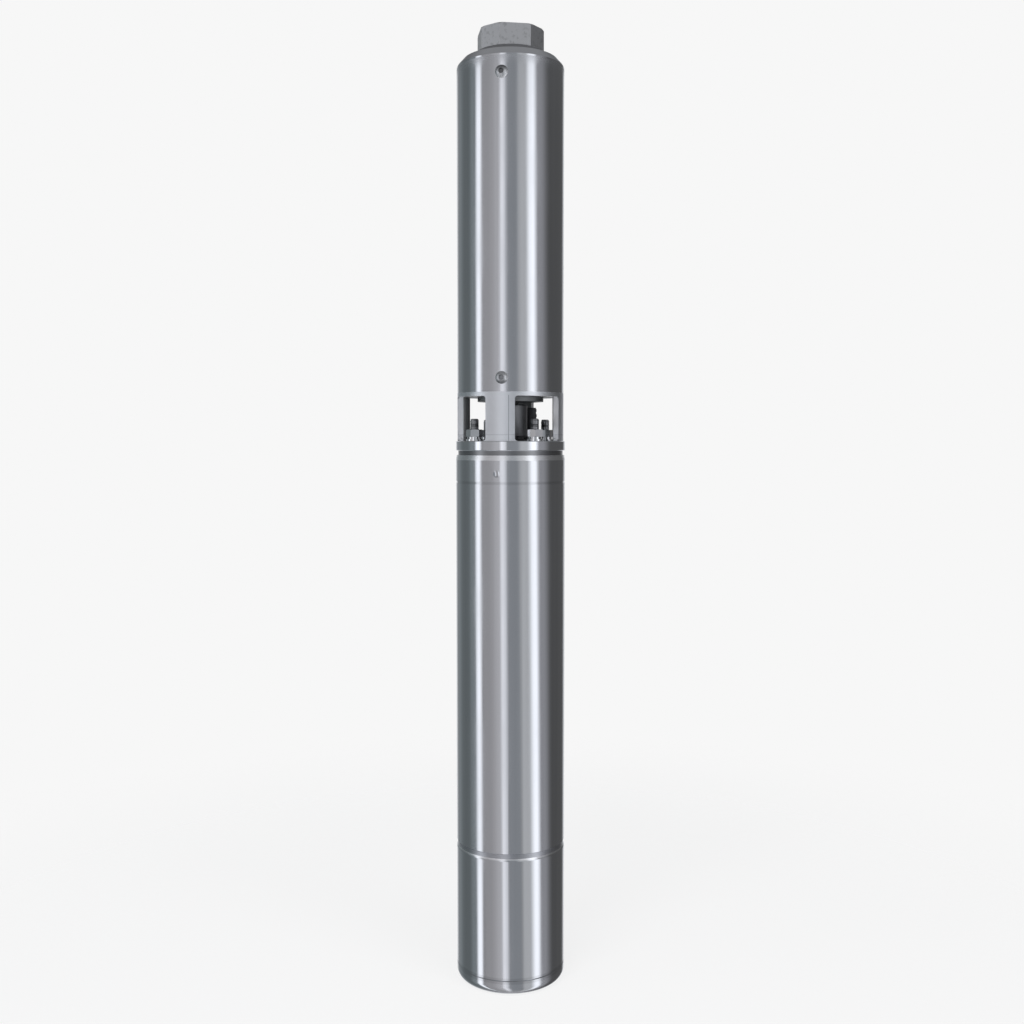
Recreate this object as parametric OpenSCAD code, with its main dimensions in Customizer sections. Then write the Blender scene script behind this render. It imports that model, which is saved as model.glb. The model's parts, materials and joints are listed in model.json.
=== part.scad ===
// Borehole submersible pump: a multistage pump end bolted to a sealed motor.
// Millimetres, Z up along the shaft, origin at the centre of the base.
$fn = 96;

/* [Pump end] */
// Outside diameter of the pump sleeve
pump_od = 95; // [92:0.5:97]
// Wall of the pump sleeve
sleeve_wall = 1.5; // [1:0.1:2]
// Height of the outlet end that sits inside the sleeve
head_spigot_h = 26; // [24:0.5:32]
// Height of the bevelled shoulder above the sleeve
shoulder_h = 8; // [7.5:0.5:12]
// Bevel of the shoulder
shoulder_bevel = 5.5; // [3:0.5:6]
// Eight-sided outlet head across its four wide flats
outlet_af = 55; // [53:0.5:60]
// Outlet head across its four corner flats
outlet_corner_af = 58; // [56:0.5:63]
// Height of the outlet head
outlet_h = 25; // [22:0.5:32]
// Bore of the outlet, the core diameter of a 1 1/4 inch pipe thread
outlet_d = 38.95; // [34:0.05:41]

/* [Stages] */
// Number of pump stages
stage_count = 8; // [4:1:8]
// Height of one stage
stage_pitch = 26; // [24.5:0.5:30]
// Outside diameter of the impellers
impeller_od = 74; // [68:0.5:76]
// Diameter of the impeller eye
eye_d = 30; // [28:0.5:34]
// Clear height between the impeller shrouds
passage_h = 6.4; // [5:0.2:7.6]
// Thickness of the impeller shrouds
shroud_t = 1.8; // [1.4:0.1:2.2]
// Thickness of the vanes
vane_t = 2; // [1.5:0.1:2.5]
// Vanes on each impeller
impeller_vanes = 6; // [5:1:7]
// Return vanes in each bowl
return_vanes = 7; // [5:1:9]
// Wall of the stage bowls
bowl_wall = 3; // [2.5:0.1:3.5]
// Thickness of the plates in the bowls
plate_t = 2.5; // [2:0.1:3]

/* [Shafts] */
// Hexagonal pump shaft across its flats
shaft_af = 11; // [10:0.5:12]
// Outside diameter of the impeller hubs
hub_od = 18; // [17:0.5:20]
// Diameter of the motor shaft in its bearings
journal_d = 18; // [16:0.5:20]
// Diameter of the motor shaft stub in the coupling
stub_d = 14; // [13:0.5:15]
// Outside diameter of the coupling
coupling_od = 30; // [28:0.5:34]
// Length of the coupling
coupling_h = 29; // [26:0.5:30]

/* [Check valve] */
// Bore of the valve seat
seat_bore_d = 30; // [26:0.5:32]
// Diameter of the valve disc
disc_d = 39; // [37:0.5:41]
// Travel of the valve disc
valve_lift = 6; // [4:0.5:6.5]
// Diameter of the valve stem
stem_d = 6; // [5:0.5:7]
// Wire of the valve spring
spring_wire = 1; // [0.8:0.1:1.1]
// Turns of the valve spring
spring_turns = 4; // [3:0.5:4]

/* [Suction bracket] */
// Height of the intake windows
window_h = 39; // [34:0.5:44]
// Width of the intake windows
window_w = 46.3; // [40:0.5:48]
// Corner radius of the intake windows
window_r = 2.5; // [1:0.5:6]
// Radial thickness of the pillars
pillar_t = 6; // [5:0.5:7]
// Height of the ring between the windows and the sleeve
ring_h = 3.5; // [3:0.5:8]
// Height of the bracket inside the sleeve
spigot_h = 19; // [18:0.5:26]
// Thickness of the motor flange
flange_h = 8.5; // [8:0.5:12]
// Outside diameter of the inlet collar under the ring
collar_od = 59; // [54:0.5:62]
// Depth of the inlet collar
collar_h = 4; // [2:0.5:5]

/* [Fasteners] */
// Bolt circle of the motor studs
stud_pcd = 76.2; // [75:0.2:78]
// Diameter of the motor studs
stud_d = 8; // [7:0.5:8.5]
// Studs above the flange
stud_rise = 19.5; // [17:0.5:24]
// Stud nuts across their flats
nut_af = 13; // [12:0.5:13.5]
// Height of the stud nuts
nut_h = 6.5; // [5:0.5:7]
// Diameter of the sleeve screws
screw_d = 6; // [5:0.5:6.5]
// Diameter of the sleeve screw heads
screw_head_d = 11; // [10:0.5:12]

/* [Motor] */
// Outside diameter of the motor
motor_od = 98; // [97:0.5:101]
// Wall of the motor sleeve
motor_wall = 2; // [1.5:0.1:2.5]
// Length of the motor sleeve
motor_sleeve_h = 350; // [340:0.5:380]
// Height of the open groove under the bracket flange
neck_h = 4; // [2:0.5:6]
// Length of the stator and rotor cores
core_h = 180; // [140:1:190]
// Bore of the stator
stator_bore = 52; // [50:0.5:54]
// Gap between the rotor and the stator
air_gap = 0.8; // [0.5:0.1:1.2]
// Slots in the stator
slot_count = 24; // [18:1:24]

/* [Lower housing] */
// Height of the bottom cover that shows
cover_h = 14; // [12:0.5:20]
// Radius of the bottom edge
base_round = 8; // [4:0.5:9]
// Length of the lower housing
lower_housing_h = 110; // [105:0.5:120]
// Wall of the lower housing
lower_wall = 3; // [2.5:0.1:3.5]
// Height of the groove between the lower housing and the motor sleeve
seam_h = 4; // [3:0.5:8]

/* [Hidden] */
// Clearances
seat_fit = 0.02;
slip_fit = 0.05;
running_fit = 0.05;
wear_gap = 0.3;
side_gap = 1;
weld = 0.2;
cut = 1;

// Heights of the main joints, from the base up
lower_top = cover_h + lower_housing_h;
sleeve_low = lower_top + seam_h;
sleeve_high = sleeve_low + motor_sleeve_h;
flange_low = sleeve_high + neck_h;
flange_top = flange_low + flange_h;
window_top = flange_top + window_h;
pump_low = window_top + ring_h;
stack_low = pump_low + spigot_h;
stack_high = stack_low + stage_count * stage_pitch;
top_bearing_h = 30;
head_low = stack_high + top_bearing_h;
pump_high = head_low + head_spigot_h;
outlet_low = pump_high + shoulder_h;
total_h = outlet_low + outlet_h;

// Radii shared by pieces that fit together
pump_r = pump_od / 2;
sleeve_ri = pump_r - sleeve_wall;
bowl_r = sleeve_ri - slip_fit;
bowl_ri = bowl_r - bowl_wall;
impeller_r = impeller_od / 2;
eye_r = eye_d / 2;
neck_r = eye_r + shroud_t;
eye_hole_r = neck_r + wear_gap;
hub_r = hub_od / 2;
motor_r = motor_od / 2;
motor_ri = motor_r - motor_wall;
lower_ri = motor_r - lower_wall;
journal_r = journal_d / 2;
stub_r = stub_d / 2;
stud_r = stud_d / 2;
stud_ring_r = stud_pcd / 2;
outlet_r = outlet_d / 2;
stem_r = stem_d / 2;
screw_r = screw_d / 2;

// Heights inside one stage, from the stage's own floor
low_shroud_z = side_gap;
vane_z = low_shroud_z + shroud_t;
top_shroud_z = vane_z + passage_h;
guide_z = top_shroud_z + shroud_t + side_gap;
guide_t = 2;
return_z = guide_z + guide_t;
roof_z = stage_pitch - plate_t;
guide_r = bowl_ri - 4.5;
hub_drop = 2;
vane_lead = 5;
vane_inset = 0.5;

// Places round the axis, in degrees from +X
pillar_angle = 45;
outlet_turn = 65;
stud_angle = 90;
screw_angles = [47, 227];
gland_angle = 24;
gland_ring_r = 35;
screw_rise = 12;
screw_drop = 14;
screw_heights = [pump_low + screw_rise, pump_high - screw_drop];

// Bracket, flange and motor top
pilot_r = 29;
pilot_h = 6;
bell_r = 24;
lead_notch_r = 7.5;
stud_depth = 16;
washer_t = 1.6;
lock_washer_t = 2;
nut_low = flange_top + washer_t + lock_washer_t;
edge_chamfer = 0.5;
rim_h = 4.5;
rim_in = 0.7;

// Coupling between the two shafts
coupling_low = flange_top + 3.5;
shaft_split = coupling_low + coupling_h / 2;
shaft_end_gap = 0.5;
coupling_screw_r = 2.5;
stub_flat = 0.8;

// Top bearing of the pump
bush_low = stack_high + 3;
bush_h = 14;
bush_wall = 4;
hub_wall = 4;
rib_t = 3;
shaft_sleeve_top = bush_low + bush_h + 2;
shaft_nut_h = 8;
shaft_thread_r = shaft_af / 2 - 0.5;

// Check valve
seat_t = 5;
seat_lip_h = 2;
seat_lip_t = 2.5;
seat_flange = 12;
seal_t = 2.5;
disc_t = 3;
disc_low = head_low + seat_t + seat_lip_h + seal_t;
disc_top = disc_low + disc_t;
lift_room = 1.5;
cage_hub_low = disc_top + valve_lift + lift_room;
cage_arm_low = cage_hub_low + 4;
cage_arm_h = 4;
cage_high = cage_arm_low + cage_arm_h;
cage_wall = 3;
chamber_r = disc_d / 2 + 4.5;
stem_guide_wall = 3.5;
stem_high = cage_high + 4;
spring_mean_r = stem_r + stem_guide_wall + spring_wire / 2 + 1.5;

// Rings that seal the joints
seal_ring_d = 3;
seal_ring_r = seal_ring_d / 2;
groove_w = seal_ring_d * 1.3;

// Motor inside
plug_h = 38;
plug_wall = 5;
top_plate_t = 16;
bearing_wall = 5;
bearing_hub_wall = 5;
bearing_h = 26;
upper_bearing_low = sleeve_high - plug_h + 2;
shaft_shoulder = 2;
shaft_room = 1;
rotor_seat_r = journal_r + shaft_shoulder;
core_low = (sleeve_low + sleeve_high - core_h) / 2;
core_high = core_low + core_h;
rotor_r = stator_bore / 2 - air_gap;
slot_in_r = stator_bore / 2 + 4;
slot_w = 3.2;
slot_mouth_w = 1.2;
slot_depth = 9;
slot_fit = 0.15;
end_turn_h = 22;
end_turn_gap = 2;
end_turn_round = 3;
end_ring_h = 10;
seal_wall = 6;
seal_h = 10;
slinger_h = 3;
slinger_r = 17;

// Bearing carrier and thrust bearing below the motor
carrier_up = 16;
carrier_down = 13.5;
carrier_web = 9;
seam_in = 0.8;
lower_bearing_low = lower_top - 3;
thrust_r = 30;
thrust_disc_h = 10;
thrust_disc_low = lower_top - 33.5;
thrust_end_r = journal_r - 1;
thrust_pad_h = 8;
thrust_pad_in = 12;
thrust_pads_count = 6;
thrust_slot = 3;
thrust_plate_h = 6;
thrust_pads_low = thrust_disc_low - running_fit - thrust_pad_h;
web_top = thrust_pads_low - thrust_plate_h;
web_t = 10;

// Diaphragm and bottom cover
cover_spigot_h = 17;
diaphragm_rim_t = 3;
diaphragm_low = cover_h + cover_spigot_h;
ledge_low = diaphragm_low + diaphragm_rim_t;
ledge_ri = 32;
dome_rise = 16;
dome_t = 2;
dome_r = (ledge_ri * ledge_ri + dome_rise * dome_rise) / (2 * dome_rise);
cover_floor = 6;
cover_screw_ring_r = 38;
cover_screw_r = 2.5;
cover_screw_head_r = 4;
cover_screw_head_h = 5;
cover_screw_recess = 3;
cover_screw_grip = 10;
breather_r = 2;
breather_ring_r = 20;
breathers = 4;

// Cable gland in the motor top
gland_r = 5.4;
gland_af = 12;
gland_nut_h = 6;
boot_h = 24;
boot_ribs = 5;
gland_bore_r = 2.8;

// Solid disc between two heights
module disc(low, high, r) {
    translate([0, 0, low])
        cylinder(h = high - low, r = r);
}

// Tube between two heights
module tube(low, high, r_out, r_in) {
    difference() {
        disc(low, high, r_out);
        disc(low - cut, high + cut, r_in);
    }
}

// Hexagonal prism with a flat facing +X
module hex_prism(low, high, across_flats) {
    translate([0, 0, low])
        rotate(30)
            cylinder(h = high - low, r = across_flats / sqrt(3), $fn = 6);
}

// Copies on a ring about the axis
module on_ring(count, r, start = 0) {
    for (i = [0:count - 1])
        rotate(start + i * 360 / count)
            translate([r, 0, 0])
                children();
}

// Rubber ring of round section lying in a groove
module seal_ring(height, r_mid) {
    translate([0, 0, height])
        rotate_extrude()
            translate([r_mid, 0])
                circle(r = seal_ring_r - slip_fit / 2, $fn = 32);
}

// Groove for a seal ring, cut from a spigot of the given radius
module seal_groove(height, spigot_r) {
    tube(height - groove_w / 2, height + groove_w / 2, spigot_r + cut, spigot_r - seal_ring_d);
}

// Flat outline of curved vanes between two radii, swept by arcs of one circle
module vane_outline(count, r_in, r_out) {
    arc_r = (r_out + r_in) / 2;
    arc_x = (r_out - r_in) / 2 + vane_lead;
    for (i = [0:count - 1])
        rotate(i * 360 / count)
            intersection() {
                difference() {
                    circle(r = r_out);
                    circle(r = r_in);
                }
                translate([arc_x, 0])
                    difference() {
                        circle(r = arc_r + vane_t / 2);
                        circle(r = arc_r - vane_t / 2);
                    }
                translate([-2 * r_out, 0])
                    square([4 * r_out, 2 * r_out]);
            }
}

// Rectangle with rounded corners, centred
module rounded_rect(w, h, r) {
    square([w - 2 * r, h], center = true);
    square([w, h - 2 * r], center = true);
    for (x = [-1, 1], y = [-1, 1])
        translate([x * (w / 2 - r), y * (h / 2 - r)])
            circle(r = r, $fn = 32);
}

// Outlet casting: eight-sided head on a flared collar, bevelled shoulder and the spigot inside the sleeve
module discharge_head() {
    wide_half = outlet_af / 2;
    corner_half = outlet_corner_af / 2;
    corner_r = sqrt(pow(wide_half, 2) + pow(corner_half * sqrt(2) - wide_half, 2));
    top_chamfer = 1;
    collar_r = corner_r + 0.3;
    flare_h = 6;
    bevel_ease = 1.2;
    thread_chamfer = 1.5;
    throat_r = outlet_r + 1;
    color("lightsteelblue")
        difference() {
            union() {
                intersection() {
                    translate([0, 0, outlet_low - weld])
                        rotate(outlet_turn)
                            linear_extrude(outlet_h + weld)
                                intersection() {
                                    square(outlet_af, center = true);
                                    rotate(45)
                                        square(outlet_corner_af, center = true);
                                }
                    rotate_extrude()
                        polygon([[0, outlet_low - cut], [corner_r + cut, outlet_low - cut],
                                 [corner_r + cut, total_h - 2 * top_chamfer - cut],
                                 [corner_r - top_chamfer, total_h], [0, total_h]]);
                }
                translate([0, 0, outlet_low - weld])
                    cylinder(h = flare_h + weld, r1 = collar_r + flare_h, r2 = collar_r);
                translate([0, 0, pump_high])
                    rotate_extrude()
                        polygon([[0, 0], [pump_r, 0], [pump_r, shoulder_h - shoulder_bevel - bevel_ease],
                                 [pump_r - bevel_ease / 2, shoulder_h - shoulder_bevel],
                                 [pump_r - shoulder_bevel, shoulder_h], [0, shoulder_h]]);
                disc(head_low, pump_high + weld, bowl_r);
            }
            disc(head_low - cut, head_low + seat_t, seat_bore_d / 2 + seat_flange);
            disc(head_low, cage_high, chamber_r);
            disc(head_low, outlet_low, throat_r);
            disc(head_low, total_h + cut, outlet_r);
            translate([0, 0, total_h - thread_chamfer])
                cylinder(h = thread_chamfer + cut, r1 = outlet_r, r2 = outlet_r + thread_chamfer + cut);
            seal_groove(head_low + groove_w, bowl_r);
            sleeve_screw_holes(screw_r + seat_fit);
        }
}

module head_seal_ring() {
    color("dimgray")
        seal_ring(head_low + groove_w, sleeve_ri - seal_ring_r - slip_fit / 2);
}

// Seat plate clamped under the outlet casting
module valve_seat() {
    color("silver")
        rotate_extrude()
            translate([seat_bore_d / 2, head_low]) {
                square([seat_flange - seat_fit, seat_t - seat_fit]);
                square([seat_lip_t, seat_t + seat_lip_h]);
            }
}

// Lifting disc with its stem and guide cone
module valve_disc() {
    nose_r = seat_bore_d / 2 - 3;
    nose_tip_r = stem_r;
    nose_h = seat_t;
    color("goldenrod")
        rotate_extrude()
            polygon([[0, disc_low - seal_t - nose_h], [nose_tip_r, disc_low - seal_t - nose_h],
                     [nose_r, disc_low - seal_t], [nose_r, disc_low], [disc_d / 2, disc_low],
                     [disc_d / 2, disc_top], [stem_r, disc_top], [stem_r, stem_high], [0, stem_high]]);
}

module valve_disc_seal() {
    nose_r = seat_bore_d / 2 - 3;
    color("black")
        tube(disc_low - seal_t, disc_low, disc_d / 2 - 1, nose_r + seat_fit);
}

// Closing spring: round wire swept along a helix
module valve_spring() {
    sides = 8;
    steps_per_turn = 20;
    steps = spring_turns * steps_per_turn;
    low = disc_top + spring_wire / 2 + slip_fit;
    high = cage_arm_low - spring_wire / 2 - slip_fit;
    points = [
        for (i = [0:steps], k = [0:sides - 1])
            let (turn = 360 * i / steps_per_turn, side = 360 * k / sides,
                 r = spring_mean_r + spring_wire / 2 * cos(side))
                [r * cos(turn), r * sin(turn), low + (high - low) * i / steps + spring_wire / 2 * sin(side)]
    ];
    walls = [
        for (i = [0:steps - 1], k = [0:sides - 1])
            let (next = (k + 1) % sides)
                [i * sides + k, (i + 1) * sides + k, (i + 1) * sides + next, i * sides + next]
    ];
    start_cap = [for (k = [0:sides - 1]) k];
    end_cap = [for (k = [sides - 1:-1:0]) steps * sides + k];
    color("gainsboro")
        polyhedron(points = points, faces = concat(walls, [start_cap, end_cap]), convexity = 10);
}

// Guide for the valve stem: a ring, three arms and a bored hub
module valve_cage() {
    arms = 3;
    arm_w = 4;
    hub_out = stem_r + stem_guide_wall;
    color("gold")
        difference() {
            union() {
                tube(cage_hub_low, cage_high - seat_fit, chamber_r - slip_fit, chamber_r - cage_wall);
                disc(cage_hub_low, stem_high - 2, hub_out);
                for (i = [0:arms - 1])
                    rotate(i * 360 / arms)
                        translate([0, -arm_w / 2, cage_arm_low])
                            cube([chamber_r - cage_wall / 2, arm_w, cage_arm_h - seat_fit]);
            }
            disc(cage_hub_low - cut, stem_high + cut, stem_r + running_fit);
        }
}

// Radial holes for the screws that hold the sleeve
module sleeve_screw_holes(r) {
    depth = 8;
    for (angle = screw_angles, height = screw_heights)
        translate([0, 0, height])
            rotate([0, 0, angle])
                rotate([0, 90, 0])
                    translate([0, 0, sleeve_ri - depth])
                        cylinder(h = depth + sleeve_wall + cut, r = r, $fn = 32);
}

// Polished tube round the stages
module pump_sleeve() {
    color("silver")
        difference() {
            tube(pump_low, pump_high, pump_r, sleeve_ri);
            sleeve_screw_holes(screw_r + seat_fit);
        }
}

// Low round-headed screws through the sleeve
module sleeve_screws() {
    head_h = 2.8;
    depth = 7.5;
    head_r = screw_head_d / 2;
    dome_r = (head_r * head_r + head_h * head_h) / (2 * head_h);
    socket_af = 4;
    socket_h = 1.6;
    color("gray")
        for (angle = screw_angles, height = screw_heights)
            translate([0, 0, height])
                rotate([0, 0, angle])
                    rotate([0, 90, 0])
                        difference() {
                            union() {
                                translate([0, 0, sleeve_ri - depth])
                                    cylinder(h = depth + sleeve_wall + weld, r = screw_r - seat_fit,
                                             $fn = 32);
                                intersection() {
                                    translate([0, 0, pump_r])
                                        cylinder(h = head_h, r = head_r);
                                    translate([0, 0, pump_r + head_h - dome_r])
                                        sphere(r = dome_r);
                                }
                            }
                            translate([0, 0, pump_r + head_h - socket_h])
                                cylinder(h = socket_h + cut, r = socket_af / sqrt(3), $fn = 6);
                        }
}

// Spider above the last stage, clamped by the outlet casting
module top_bearing_housing() {
    hub_in = hub_r + running_fit + bush_wall + seat_fit;
    ribs = 4;
    color("lightgray")
        union() {
            tube(stack_high, head_low, bowl_r, bowl_ri);
            difference() {
                union() {
                    disc(bush_low, bush_low + bush_h, hub_in + hub_wall);
                    for (i = [0:ribs - 1])
                        rotate(i * 360 / ribs)
                            translate([0, -rib_t / 2, bush_low])
                                cube([bowl_ri + weld, rib_t, bush_h]);
                }
                disc(bush_low - cut, bush_low + bush_h + cut, hub_in);
            }
        }
}

// Fluted rubber bearing in the spider
module top_bearing_bush() {
    flutes = 6;
    flute_r = 1.5;
    bore_r = hub_r + running_fit;
    color("black")
        difference() {
            tube(bush_low, bush_low + bush_h, bore_r + bush_wall, bore_r);
            on_ring(flutes, bore_r)
                disc(bush_low - cut, bush_low + bush_h + cut, flute_r);
        }
}

// Hard sleeve on the shaft inside the top bearing
module shaft_sleeve() {
    color("gainsboro")
        difference() {
            disc(stack_high - hub_drop, shaft_sleeve_top, hub_r);
            hex_prism(stack_high - hub_drop - cut, shaft_sleeve_top + cut, shaft_af + 2 * slip_fit);
        }
}

// Lock nut that clamps the impellers on the shaft
module shaft_nut() {
    color("silver")
        difference() {
            hex_prism(shaft_sleeve_top, shaft_sleeve_top + shaft_nut_h, hub_od - 1);
            disc(shaft_sleeve_top - cut, shaft_sleeve_top + shaft_nut_h + cut, shaft_thread_r + seat_fit);
        }
}

// Hexagonal shaft with the collar that carries the impellers
module pump_shaft() {
    collar_t = 4;
    thread_over = 1;
    stack_seat = stack_low - hub_drop;
    color("silver") {
        hex_prism(shaft_split + shaft_end_gap, shaft_sleeve_top, shaft_af);
        disc(stack_seat - collar_t, stack_seat, hub_r);
        disc(shaft_sleeve_top - weld, shaft_sleeve_top + shaft_nut_h + thread_over, shaft_thread_r);
    }
}

// Closed impeller: eye, two shrouds, curved vanes and a hub as long as the stage
module impeller(stage) {
    color("burlywood")
        translate([0, 0, stack_low + (stage - 1) * stage_pitch])
            difference() {
                union() {
                    tube(wear_gap - plate_t, vane_z, neck_r, eye_r);
                    tube(low_shroud_z, vane_z, impeller_r, eye_r);
                    translate([0, 0, vane_z - weld])
                        linear_extrude(passage_h + 2 * weld)
                            vane_outline(impeller_vanes, eye_r + vane_inset, impeller_r - vane_inset);
                    disc(top_shroud_z, top_shroud_z + shroud_t, impeller_r);
                    disc(-hub_drop, stage_pitch - hub_drop, hub_r);
                }
                hex_prism(-hub_drop - cut, stage_pitch + cut, shaft_af + 2 * slip_fit);
            }
}

// Stage bowl: wall, guide plate over the impeller, return vanes and the floor of the next stage
module bowl(stage) {
    vane_in_r = hub_r + 8;
    vane_out_r = guide_r + 2;
    color("tan")
        translate([0, 0, stack_low + (stage - 1) * stage_pitch]) {
            tube(0, stage_pitch, bowl_r, bowl_ri);
            tube(roof_z, stage_pitch, bowl_ri + weld, eye_hole_r);
            translate([0, 0, return_z - weld])
                linear_extrude(roof_z - return_z + 2 * weld)
                    mirror([0, 1])
                        vane_outline(return_vanes, vane_in_r, vane_out_r);
            tube(guide_z, return_z, guide_r, hub_r + wear_gap);
        }
}

// Intake casting between pump and motor: spigot, ring, four pillars and the motor flange
module suction_bracket() {
    bell_h = 8;
    color("lightslategray")
        difference() {
            union() {
                rotate_extrude()
                    polygon([[pilot_r + slip_fit, flange_low], [motor_r - edge_chamfer, flange_low],
                             [motor_r, flange_low + edge_chamfer], [motor_r, flange_top - edge_chamfer],
                             [motor_r - edge_chamfer, flange_top], [pilot_r + slip_fit, flange_top]]);
                difference() {
                    tube(flange_top - weld, window_top + weld, pump_r, pump_r - pillar_t);
                    intake_windows();
                }
                disc(window_top, pump_low, pump_r);
                disc(pump_low - weld, stack_low, bowl_r);
                disc(window_top - collar_h, window_top + weld, collar_od / 2);
            }
            disc(window_top - collar_h - cut, stack_low + cut, eye_hole_r);
            disc(window_top - collar_h - cut, stack_low - bell_h - (bell_r - eye_hole_r), bell_r);
            translate([0, 0, stack_low - bell_h - (bell_r - eye_hole_r)])
                cylinder(h = bell_r - eye_hole_r, r1 = bell_r, r2 = eye_hole_r);
            on_ring(4, stud_ring_r)
                disc(flange_low - cut, flange_top + cut, stud_r + slip_fit);
            rotate(gland_angle)
                translate([gland_ring_r, 0, 0])
                    disc(flange_low - cut, flange_top + cut, lead_notch_r);
            sleeve_screw_holes(screw_r + seat_fit);
        }
}

// Window cuts through the bracket wall, along X and along Y
module intake_windows() {
    half_angle = asin(window_w / pump_od);
    for (turn = [0:90:270])
        rotate(turn)
            intersection() {
                translate([0, 0, flange_top + window_h / 2])
                    rotate([90, 0, 90])
                        linear_extrude(motor_od)
                            rounded_rect(window_w, window_h, window_r);
                linear_extrude(window_top + cut)
                    polygon([[0, 0], [motor_od, -motor_od * tan(half_angle)],
                             [motor_od, motor_od * tan(half_angle)]]);
            }
}

// Coupling sleeve: flats for the motor stub below, hexagon for the pump shaft above
module coupling() {
    edge = 1;
    out_r = coupling_od / 2;
    high = coupling_low + coupling_h;
    color("dimgray")
        difference() {
            rotate_extrude()
                polygon([[0, coupling_low], [out_r - edge, coupling_low], [out_r, coupling_low + edge],
                         [out_r, high - edge], [out_r - edge, high], [0, high]]);
            flatted_stub(coupling_low - cut, shaft_split + shaft_end_gap, slip_fit);
            hex_prism(shaft_split, high + cut, shaft_af + 2 * slip_fit);
            coupling_screw_places(coupling_screw_r + seat_fit, out_r + cut);
        }
}

// Shaft stub with two flats
module flatted_stub(low, high, gap) {
    flat = stub_r - stub_flat + gap;
    intersection() {
        disc(low, high, stub_r + gap);
        translate([-stub_d, -flat, low])
            cube([2 * stub_d, 2 * flat, high - low]);
    }
}

// Radial screws that lock both shafts in the coupling
module coupling_screw_places(r, reach) {
    seat = max(stub_r, shaft_af / sqrt(3)) + slip_fit;
    for (height = [coupling_low + coupling_h / 4, coupling_low + coupling_h * 3 / 4])
        translate([0, 0, height])
            rotate([0, 90, 0])
                translate([0, 0, seat])
                    cylinder(h = reach - seat, r = r, $fn = 32);
}

module coupling_screws() {
    color("black")
        coupling_screw_places(coupling_screw_r - seat_fit, coupling_od / 2 - 0.5);
}

module mounting_studs() {
    color("silver")
        on_ring(4, stud_ring_r)
            disc(flange_low - stud_depth, flange_top + stud_rise, stud_r - seat_fit);
}

module flat_washers() {
    washer_r = nut_af / 2 + 1;
    color("gainsboro")
        on_ring(4, stud_ring_r)
            tube(flange_top, flange_top + washer_t, washer_r, stud_r + slip_fit);
}

// Split spring washers under the nuts
module lock_washers() {
    split = 1;
    out_r = nut_af / 2 - 0.2;
    color("gray")
        on_ring(4, stud_ring_r)
            difference() {
                tube(flange_top + washer_t, nut_low, out_r, stud_r + slip_fit);
                translate([0, -split / 2, flange_top])
                    cube([nut_af, split, nut_low - flange_top + cut]);
            }
}

module stud_nuts() {
    chamfer = 1;
    corner_r = nut_af / sqrt(3);
    nut_high = nut_low + nut_h;
    color("silver")
        on_ring(4, stud_ring_r)
            difference() {
                intersection() {
                    hex_prism(nut_low, nut_high, nut_af);
                    rotate_extrude()
                        polygon([[0, nut_low], [corner_r - chamfer, nut_low],
                                 [corner_r, nut_low + chamfer / 2], [corner_r, nut_high - chamfer / 2],
                                 [corner_r - chamfer, nut_high], [0, nut_high]]);
                }
                disc(nut_low - cut, nut_high + cut, stud_r);
            }
}

// Gland for the motor lead, screwed into the motor top: jam nut and ribbed boot, open for the lead
module cable_gland() {
    grip = 8;
    nut_bottom = flange_top + 0.5;
    nut_top = nut_bottom + gland_nut_h;
    boot_low_r = gland_r + 0.6;
    boot_high_r = gland_r - 0.6;
    rib_h = boot_h / (2 * boot_ribs);
    rib_out = 0.6;
    bore_h = 12;
    color("black")
        rotate(gland_angle)
            translate([gland_ring_r, 0, 0])
                difference() {
                    union() {
                        disc(flange_low - grip, nut_bottom + weld, gland_r);
                        hex_prism(nut_bottom, nut_top, gland_af);
                        translate([0, 0, nut_top - weld])
                            cylinder(h = boot_h + weld, r1 = boot_low_r, r2 = boot_high_r);
                        for (i = [1:boot_ribs])
                            disc(nut_top + (2 * i - 1.5) * rib_h, nut_top + (2 * i - 0.5) * rib_h,
                                 boot_low_r + rib_out - i * (boot_low_r - boot_high_r) / boot_ribs);
                    }
                    disc(nut_top + boot_h - bore_h, nut_top + boot_h + cut, gland_bore_r);
                }
}

// Rubber disc on the shaft that throws sand off the seal
module sand_slinger() {
    low = flange_low + pilot_h + 1.5;
    lip = 1.2;
    color("black")
        rotate_extrude()
            polygon([[stub_r + slip_fit, low], [stub_r + 4, low], [slinger_r, low - lip],
                     [slinger_r, low - lip + 1], [stub_r + 5, low + slinger_h],
                     [stub_r + slip_fit, low + slinger_h]]);
}

module shaft_seal() {
    high = flange_low + pilot_h;
    color("dimgray")
        tube(high - seal_h, high, stub_r + running_fit + seal_wall, stub_r + running_fit);
}

// Top of the motor: studded plate, pilot for the bracket and the bearing hub
module motor_top_cover() {
    plug_low = sleeve_high - plug_h;
    plate_low = flange_low - top_plate_t - 2;
    bearing_out_r = journal_r + running_fit + bearing_wall + seat_fit;
    seal_out_r = stub_r + running_fit + seal_wall + seat_fit;
    pilot_top = flange_low + pilot_h;
    color("lightgray")
        difference() {
            union() {
                disc(plug_low, flange_low, motor_ri - slip_fit);
                disc(flange_low - weld, pilot_top, pilot_r);
            }
            difference() {
                disc(plug_low - cut, plate_low, motor_ri - slip_fit - plug_wall);
                disc(plug_low - 2 * cut, plate_low + cut, bearing_out_r + bearing_hub_wall);
            }
            disc(plug_low - cut, upper_bearing_low + bearing_h, bearing_out_r);
            disc(plug_low, pilot_top, journal_r + shaft_room);
            disc(pilot_top - seal_h, pilot_top + cut, seal_out_r);
            on_ring(4, stud_ring_r)
                disc(flange_low - stud_depth, flange_low + cut, stud_r);
            rotate(gland_angle)
                translate([gland_ring_r, 0, 0])
                    disc(plate_low - cut, flange_low + cut, gland_r + seat_fit);
            seal_groove(plug_low + groove_w, motor_ri - slip_fit);
        }
}

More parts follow.
